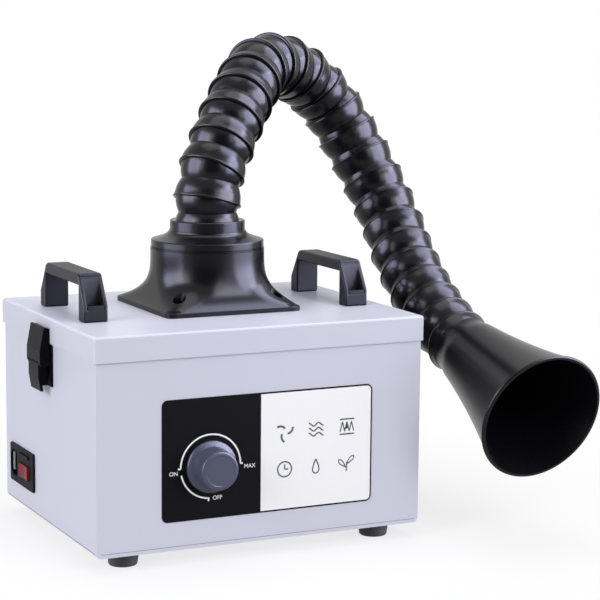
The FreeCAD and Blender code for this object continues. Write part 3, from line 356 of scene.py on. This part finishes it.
def square_ring(half, corner, count):
    """Points of a rounded square at even angles: the reach along each direction to a square of that half
    side, drawn in at the corners to a circle of the corner radius."""
    angle = np.linspace(0, 2 * math.pi, count, endpoint=False) + math.pi / count
    c, s = np.abs(np.cos(angle)), np.abs(np.sin(angle))
    flat = half / np.maximum(c, s)
    inner = half - corner
    along = inner * (c + s)
    bend = along + np.sqrt(np.maximum(along ** 2 - 2 * inner ** 2 + corner ** 2, 0.0))
    in_corner = np.minimum(c, s) * flat > inner
    reach = np.where(in_corner, bend, flat)
    return np.column_stack([reach * np.cos(angle), reach * np.sin(angle)])


def drilled(mesh, wells):
    """The mesh with upright round wells cut in from above; each well is (middle of its floor, radius)."""
    blank = bpy.data.objects.new("blank", mesh)
    bpy.context.scene.collection.objects.link(blank)
    cutters = []
    for floor, radius in wells:
        profile = [(NEAR_AXIS, 0.0), (radius, 0.0), (radius, FLANGE["rise"]), (NEAR_AXIS, FLANGE["rise"])]
        drill = bpy.data.objects.new("drill", turned("drill", profile, floor, np.array([0.0, 0.0, 1.0]), 48))
        bpy.context.scene.collection.objects.link(drill)
        hole = blank.modifiers.new("well", "BOOLEAN")
        hole.object = drill
        hole.solver = "EXACT"
        cutters.append(drill)
    bpy.context.view_layer.update()
    result = bpy.data.meshes.new_from_object(blank.evaluated_get(bpy.context.evaluated_depsgraph_get()))
    for spare in cutters + [blank]:
        bpy.data.objects.remove(spare)
    return result


def flange():
    """Hollow sweep from the square plate to the round neck: the half side falls and the corner radius grows
    with the fourth power of the height left, ring by ring, then the duct's wall leads back down."""
    count = 192
    foot = ARM_FOOT - np.array([0, 0, FLANGE["rise"]])
    rings = [(FLANGE["side"], FLANGE["corner"], 0.0), (FLANGE["side"], FLANGE["corner"], 4.6),
             (FLANGE["side"] - 0.4, FLANGE["corner"], 5.0)]
    for share in np.linspace(0, 1, 22):
        left = (1 - share) ** 4
        half = FLANGE["radius"] + left * (FLANGE["half"] - FLANGE["radius"])
        corner = (0.985 - 0.885 * left) * FLANGE["radius"]
        height = FLANGE["plate"] + share * (FLANGE["rise"] - FLANGE["plate"])
        rings.append((half, min(corner, half - 0.5), height))
    rings += [(FLANGE["duct"], FLANGE["duct"] - 0.2, height) for height in (FLANGE["rise"], 0.0)]
    points = []
    for half, corner, height in rings:
        flat = square_ring(half, corner, count)
        points.append(np.column_stack([flat, np.full(count, height)]) + foot)
    mesh = drilled(grid_mesh("arm_flange_form", np.array(points), True, True), [
        (foot + np.array([x, y, FLANGE["plate"]]), FLANGE["well"])
        for x in (-FLANGE["screw"], FLANGE["screw"]) for y in (-FLANGE["screw"], FLANGE["screw"])])
    piece = dress(mesh, "arm_flange_form", BODY_OF["arm_flange"],
                  FINISH["black_gloss"], 40.0)
    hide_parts("arm_flange")


def arm():
    flange()
    up = np.array([0.0, 0.0, 1.0])
    turned_piece("swivel_collar", collar_profile(), ARM_FOOT, up)
    stations = arm_stations()
    for i, (spot, axis) in enumerate(stations[:-1], 1):
        turned_piece(f"link_{i:02d}", link_profile(), spot, axis, 96)
    turned_piece("nozzle", bell_profile(), *stations[-1], 144)


# Flat print on the front label
def plate(name, outline, depth, thickness, body, material):
    """Flat plate on the front: an outline of (x, z) points given a thickness towards the front."""
    outline = np.array(outline, dtype=float)
    count = len(outline)
    back = np.column_stack([outline[:, 0], np.full(count, depth), outline[:, 1]])
    front = back - np.array([0, thickness, 0])
    points = np.concatenate([back, front]) * MM
    ring = np.arange(count)
    nxt = (ring + 1) % count
    sides = np.stack([ring, nxt, nxt + count, ring + count], axis=1).tolist()
    faces = [ring[::-1].tolist(), (ring + count).tolist()] + sides
    mesh = bpy.data.meshes.new(name)
    mesh.from_pydata(points.tolist(), [], faces)
    work = bmesh.new()
    work.from_mesh(mesh)
    bmesh.ops.recalc_face_normals(work, faces=work.faces)
    work.to_mesh(mesh)
    work.free()
    return dress(mesh, name, body, material)


def rounded_outline(x0, z0, x1, z1, radius, corners=(1, 1, 1, 1), count=8):
    """Rectangle with quarter-circle corners where asked, from the lower left round to the upper left."""
    centres = ((x0, z0, 1, 1, 180), (x1, z0, -1, 1, 270), (x1, z1, -1, -1, 0), (x0, z1, 1, -1, 90))
    points = []
    for (x, z, sx, sz, start), asked in zip(centres, corners):
        if not asked:
            points.append((x, z))
            continue
        angles = np.radians(start + np.linspace(0, 90, count))
        points += [(x + radius * (sx + math.cos(a)), z + radius * (sz + math.sin(a))) for a in angles]
    return points


def arc_band(x, z, inner, outer, start, stop, count=48):
    """Band between two radii over an angle, out along one edge and back along the other."""
    angles = np.radians(np.linspace(start, stop, count))
    inner = np.linspace(*inner, count)
    outer = np.linspace(*outer, count)
    there = [(x + r * math.cos(a), z + r * math.sin(a)) for r, a in zip(outer, angles)]
    back = [(x + r * math.cos(a), z + r * math.sin(a)) for r, a in zip(inner, angles)]
    return there + back[::-1]


def word(name, text, x, z, height, depth, material):
    """Dial word: text made a mesh, stood upright on the label."""
    curve = bpy.data.curves.new(name, "FONT")
    curve.body = text
    curve.size = height * MM * 1.42
    curve.align_x = "CENTER"
    curve.align_y = "CENTER"
    curve.extrude = 0.04 * MM
    curve.offset = 0.02 * MM
    carrier = bpy.data.objects.new(name + "_curve", curve)
    bpy.context.scene.collection.objects.link(carrier)
    bpy.context.view_layer.update()
    mesh = bpy.data.meshes.new_from_object(carrier.evaluated_get(bpy.context.evaluated_depsgraph_get()))
    bpy.data.objects.remove(carrier)
    spots = np.empty(len(mesh.vertices) * 3)
    mesh.vertices.foreach_get("co", spots)
    spots = spots.reshape(-1, 3)
    stood = np.column_stack([spots[:, 0] + x * MM, depth * MM - spots[:, 2], spots[:, 1] + z * MM])
    mesh.vertices.foreach_set("co", stood.ravel())
    return dress(mesh, name, "case", material)


def stroke(path, width):
    """Outline of a line with a width: the path moved half the width to each side, there and back."""
    path = np.array(path, dtype=float)
    along = np.gradient(path, axis=0)
    along = along / np.linalg.norm(along, axis=1, keepdims=True)
    side = np.column_stack([-along[:, 1], along[:, 0]]) * width / 2
    return np.concatenate([path + side, (path - side)[::-1]]).tolist()


def ring_half(x, z, radius, start):
    """Half of a circle, a hair over so that two halves close."""
    angles = np.radians(np.linspace(start, start + 182, 25))
    return np.column_stack([x + radius * np.cos(angles), z + radius * np.sin(angles)])


def sign_strokes(kind, x, z):
    """Lines of one plain sign, about 16 mm across, as paths with a width."""
    s = np.linspace(-1, 1, 25)
    if kind == "air":
        wave = 1.6 * np.sin(s * math.pi * 1.5)
        return [(np.column_stack([x + 8 * s, z + h + wave]), 1.5) for h in (-5, 0, 5)]
    if kind == "timer":
        hands = [([(x, z), (x, z + 2.5), (x, z + 5)], 1.4), ([(x, z), (x + 2, z), (x + 4, z)], 1.4)]
        return [(ring_half(x, z, 7.5, 0), 1.5), (ring_half(x, z, 7.5, 180), 1.5)] + hands
    if kind == "filter":
        zigzag = np.interp(np.linspace(0, 6, 49), np.arange(7), [-5, 5, -5, 5, -5, 5, -5])
        bars = [([(x - 8, z + h), (x, z + h), (x + 8, z + h)], 1.5) for h in (-7.5, 7.5)]
        return [(np.column_stack([np.linspace(x - 7.5, x + 7.5, 49), z + zigzag]), 1.2)] + bars
    if kind == "sprout":
        stem = ([(x, z - 8), (x, z - 3), (x + 0.4, z + 1)], 1.4)
        blade = np.column_stack([x + 4 + 4 * s, z + 3 + 4 * s + 2.6 * np.cos(s * math.pi / 2)])
        under = np.column_stack([x + 4 + 4 * s + 2.6 * np.cos(s * math.pi / 2), z + 3 + 4 * s])
        leaf = [blade, under]
        mirrored = [np.column_stack([2 * x - edge[:, 0] - 1, edge[:, 1] - 3]) for edge in leaf]
        return [stem] + [(edge, 1.2) for edge in leaf + mirrored]
    if kind == "fan":
        blades = [(np.column_stack([x + (1 + s + 1) * 3.3 * np.cos(a + 0.5 * (s + 1)),
                                    z + (1 + s + 1) * 3.3 * np.sin(a + 0.5 * (s + 1))]), 2.2)
                  for a in np.radians([90, 210, 330])]
        return blades
    drop = np.column_stack([x + 5 * np.sin((s + 1) * math.pi) * (0.6 - 0.4 * np.cos((s + 1) * math.pi)),
                            z + 7 * np.cos((s + 1) * math.pi)])
    return [(drop, 1.4)]


SIGNS = (("fan", 22.0, 121.0), ("air", 56.0, 121.0), ("filter", 90.0, 121.0),
         ("timer", 22.0, 84.0), ("drop", 56.0, 84.0), ("sprout", 90.0, 84.0))


def handle_lips():
    """Low lip across the mouth of each screw pocket of the handles: an outline raised between two heights,
    with each end closed by a fan to its middle."""
    h = HANDLE
    front, rear = ARM_FOOT[1] - h["half_length"], ARM_FOOT[1] + h["half_length"] - h["lip_depth"]
    for side, x in (("left", -h["x"]), ("right", h["x"])):
        for end, y in (("front", front), ("rear", rear)):
            outline = np.array(rounded_outline(x - h["lip_half_width"], y, x + h["lip_half_width"],
                                               y + h["lip_depth"], h["lip_round"]))
            hub = np.tile(outline.mean(axis=0), (len(outline), 1))
            low, high = (np.full(len(outline), LID_TOP + h[key]) for key in ("lip_low", "lip_high"))
            points = np.array([np.column_stack(pair) for pair in (
                (hub, low), (outline, low), (outline, high), (hub, high))])
            name = f"handle_lip_{side}_{end}"
            dress(grid_mesh(name, points, False, True), name, "lid",
                  FINISH[SLOT_OF["handle_left"]])


def base_seam():
    """Fine joint round the foot of the case: two rounded rectangles a hair apart, closed up as a band that
    carries the painted shade of the gap.
    """
    j = FOOT_JOINT
    outlines = []
    for out, corner in ((j["proud"], j["corner"]), (-j["sunk"], j["inner_corner"])):
        x, y = j["half_width"] + out, CASE_FRONT - out
        outlines.append(np.array(rounded_outline(-x, y, x, -y, corner)))
    outline, inner = outlines
    rings = [(inner, j["low"]), (outline, j["low"]), (outline, j["high"]), (inner, j["high"])]
    points = np.array([np.column_stack([flat, np.full(len(flat), z)]) for flat, z in rings])
    mesh = grid_mesh("base_seam", points, True, True)
    # the band's darker colour is painted shade in the joint's gap
    dress(mesh, "base_seam", "case", SEAM_SHADE)


def dial_mark(name, inner, outer, start, stop, depth, count=48):
    """White band of the dial, between two radii round the knob."""
    band = arc_band(KNOB["x"], KNOB["z"], (inner, inner), (outer, outer), start, stop, count)
    plate(name, band, depth, DIAL["ink"], "case", WHITE_INK)


def label_print():
    surface = CASE_FRONT - LABEL["thickness"]
    ink = surface - 0.02
    split = -3.6
    border = 1.6
    panel = rounded_outline(split, LABEL["bottom"] + border, LABEL["right"] - border, LABEL["top"] - border,
                            LABEL["corner"] - border, (0, 1, 1, 0))
    plate("label_white_panel", panel, ink, 0.12, "case", WHITE_FILM)
    for kind, x, z in SIGNS:
        for i, (path, width) in enumerate(sign_strokes(kind, x, z)):
            plate(f"sign_{kind}_{i}", stroke(path, width), ink - 0.14, 0.06, "case", DARK_INK)
    for name, start, stop in (("dial_sweep", 179, 1), ("dial_off_sweep", 192, 264)):
        dial_mark(name, DIAL["inner"], DIAL["outer"], start, stop, ink)
    half = DIAL["tick_half_degrees"]
    for name, inner, outer, angle in (("dial_tick_on", 31.0, 34.0, 180), ("dial_tick_max", 31.0, 33.6, 0),
                                      ("dial_tick_off", 30.4, 34.0, 266)):
        dial_mark(name, inner, outer, angle - half, angle + half, ink, 4)
    for text, across, down in (("ON", -38.6, -4.4), ("OFF", 7, -31.5), ("MAX", 41.0, -3.4)):
        word("dial_word_" + text.lower(), text, KNOB["x"] + across, KNOB["z"] + down, DIAL["word"],
             surface - 0.1, WHITE_INK)


# Light and camera
CAMERA = {"eye": (-0.7995, -1.845, 0.5287), "yaw": -26.0986, "pitch": 8.3306, "roll": 0.526, "lens": 119.128}


def photo_camera():
    yaw, pitch, roll = (math.radians(CAMERA[k]) for k in ("yaw", "pitch", "roll"))
    right = np.array([math.cos(yaw), math.sin(yaw), 0.0])
    back = np.array([math.sin(yaw) * math.cos(pitch), -math.cos(yaw) * math.cos(pitch), math.sin(pitch)])
    up = np.cross(back, right)
    right, up = math.cos(roll) * right + math.sin(roll) * up, math.cos(roll) * up - math.sin(roll) * right
    data = bpy.data.cameras.new("photo_camera")
    data.lens = CAMERA["lens"]
    data.sensor_width = 36.0
    camera = bpy.data.objects.new("photo_camera", data)
    matrix = np.eye(4)
    matrix[:3, 0], matrix[:3, 1], matrix[:3, 2], matrix[:3, 3] = right, up, back, CAMERA["eye"]
    camera.matrix_world = Matrix(matrix.tolist())
    bpy.context.scene.collection.objects.link(camera)
    bpy.context.scene.camera = camera


LAMP_TINT = linear("#FAFAFF")[:3]
GLOSS_TINT = linear("#DEDCFF")[:3]
AIM = (0.1, 0, 0.35)
# Name, place, width and height in metres, watts, and whether it shows in reflections alone
LAMPS = (
    ("left_window", (-2.3, -0.7, 1.2), (1.2, 1.5), 34.5, False),
    ("front_fill", (0.9, -2.4, 1.4), (1.2, 1.2), 29, False),
    ("top_light", (0.1, 0.2, 2.2), (1.2, 1.4), 17.5, False),
    ("right_gloss", (1.9, -1.4, 0.7), (2.2, 2.2), 380, True),
    ("left_gloss", (-2.2, 0.3, 0.7), (2.0, 2.2), 230, True),
    ("upper_gloss", (1.4, -0.3, 1.9), (1.6, 1.6), 120, True))
CARD = {"distance": 2.6, "half_width": 1.4, "height": 2.4}
FLOOR = {"reach": 8.0, "inner": 0.2, "outer": 0.62, "share": 0.72, "light": 0.5}
SKY_LIGHT = 0.42


def lamp(name, spot, size, watts, reflections_only):
    """Soft rectangular lamp that faces the object; a reflections-only one adds no diffuse light."""
    data = bpy.data.lights.new(name, "AREA")
    data.shape = "RECTANGLE"
    data.size, data.size_y = size
    data.energy = watts
    data.color = GLOSS_TINT if reflections_only else LAMP_TINT
    lamp_object = bpy.data.objects.new(name, data)
    away = np.array(spot) - np.array(AIM)
    away = away / np.linalg.norm(away)
    across, along = upright(away)
    matrix = np.eye(4)
    matrix[:3, 0], matrix[:3, 1], matrix[:3, 2], matrix[:3, 3] = across, along, away, spot
    lamp_object.matrix_world = Matrix(matrix.tolist())
    lamp_object.visible_diffuse = not reflections_only
    bpy.context.scene.collection.objects.link(lamp_object)


def white_when_seen(tree, seen_strength, light_strength):
    """Strength of a white surface: one value to camera, glossy and transmitted rays, another to the rest."""
    path = add(tree, "ShaderNodeLightPath")
    first = add(tree, "ShaderNodeMath", [
        (0, path.outputs["Is Camera Ray"]), (1, path.outputs["Is Glossy Ray"])], operation="MAXIMUM")
    either = add(tree, "ShaderNodeMath", [
        (0, first.outputs[0]), (1, path.outputs["Is Transmission Ray"])], operation="MAXIMUM")
    mix = add(tree, "ShaderNodeMapRange", [
        ("Value", either.outputs[0]), ("To Min", light_strength), ("To Max", seen_strength)])
    return mix.outputs["Result"]


def floor_finish():
    """White floor: matt with a share of its own white near the object, all its own white further out."""
    material = finish("white_floor", "#F4F4F5", 1.0, specular=0.0)
    tree = material.node_tree
    place = add(tree, "ShaderNodeTexCoord")
    reach = add(tree, "ShaderNodeVectorMath", [(0, place.outputs["Object"])], operation="LENGTH")
    share = add(tree, "ShaderNodeMapRange", [
        ("Value", reach.outputs["Value"]), ("From Min", FLOOR["inner"]), ("From Max", FLOOR["outer"]),
        ("To Min", FLOOR["share"]), ("To Max", 1.0)],
        interpolation_type="SMOOTHSTEP")
    white = add(tree, "ShaderNodeEmission", [("Strength", white_when_seen(tree, 1.0, FLOOR["light"]))])
    mix = add(tree, "ShaderNodeMixShader", [
        (0, share.outputs["Result"]), (1, tree.nodes["Principled BSDF"].outputs["BSDF"]),
        (2, white.outputs[0])])
    tree.links.new(mix.outputs[0], tree.nodes["Material Output"].inputs["Surface"])
    return material


def dark_card():
    """Black card behind the camera, seen in reflections alone."""
    away = np.array([CAMERA["eye"][0], CAMERA["eye"][1], 0.0])
    away = away / np.linalg.norm(away)
    across = np.array([-away[1], away[0], 0.0])
    middle = CARD["distance"] * away
    side = CARD["half_width"] * across
    rise = np.array([0, 0, CARD["height"]])
    corners = [middle - side, middle + side, middle + side + rise, middle - side + rise]
    mesh = bpy.data.meshes.new("dark_card")
    mesh.from_pydata([corner.tolist() for corner in corners], [], [(0, 1, 2, 3)])
    mesh.materials.append(finish("black_studio_card", "#050506", 1.0, specular=0.0))
    card = bpy.data.objects.new("dark_card", mesh)
    bpy.context.scene.collection.objects.link(card)
    card.visible_camera = False
    card.visible_diffuse = False
    card.visible_shadow = False


def studio():
    world = bpy.data.worlds.new("studio")
    bpy.context.scene.world = world
    world.use_nodes = True
    tree = world.node_tree
    sky = tree.nodes["Background"]
    sky.inputs["Color"].default_value = (1, 1, 1, 1)
    tree.links.new(white_when_seen(tree, 1.0, SKY_LIGHT), sky.inputs["Strength"])
    # pale floor that keeps the object's shadow near it and is plain white further out
    ground = bpy.data.meshes.new("floor")
    reach = FLOOR["reach"]
    corners = [(-reach, -reach, 0), (reach, -reach, 0), (reach, reach, 0), (-reach, reach, 0)]
    ground.from_pydata(corners, [], [(0, 1, 2, 3)])
    floor = bpy.data.objects.new("floor", ground)
    ground.materials.append(floor_finish())
    bpy.context.scene.collection.objects.link(floor)
    for setting in LAMPS:
        lamp(*setting)
    dark_card()


# Skins whose edges get a bevel, in millimetres, and plain skins
SHARP_EDGES = {
    "case_body": 0.0, "lid": 0.0, "handle_left": 1.6, "handle_right": 1.6, "inlet_housing": 0.3,
    "switch_rocker": 0.4, "fuse_drawer": 0.2, "latch_base_left": 0.3, "latch_base_right": 0.3,
    "latch_lever_left": 0.4, "latch_lever_right": 0.4, "latch_hook_left": 0.5, "latch_hook_right": 0.5,
    "latch_keepers": 0.3, "handle_screws": 0.3, "flange_screws": 0.3, "front_label": 0.1}
PLAIN = ("lid_gasket", "rubber_feet", "speed_control", "control_shaft", "inlet_pins", "filter_shelf",
         "shelf_ledges", "main_filter", "prefilter", "blower_housing", "blower_motor", "blower_spindle",
         "blower_wheel", "control_board", "board_posts")


def main():
    for node, bevel in SHARP_EDGES.items():
        skin(node, bevel)
    for node in PLAIN:
        skin(node)
    arm()
    knob_foot = np.array([KNOB["x"], KNOB["base"], KNOB["z"]])
    turned_piece("speed_knob", knob_profile(), knob_foot, np.array([0.0, -1.0, 0.0]))
    handle_lips()
    base_seam()
    label_print()
    studio()
    photo_camera()
    bpy.context.scene.view_settings.view_transform = "Standard"


main()
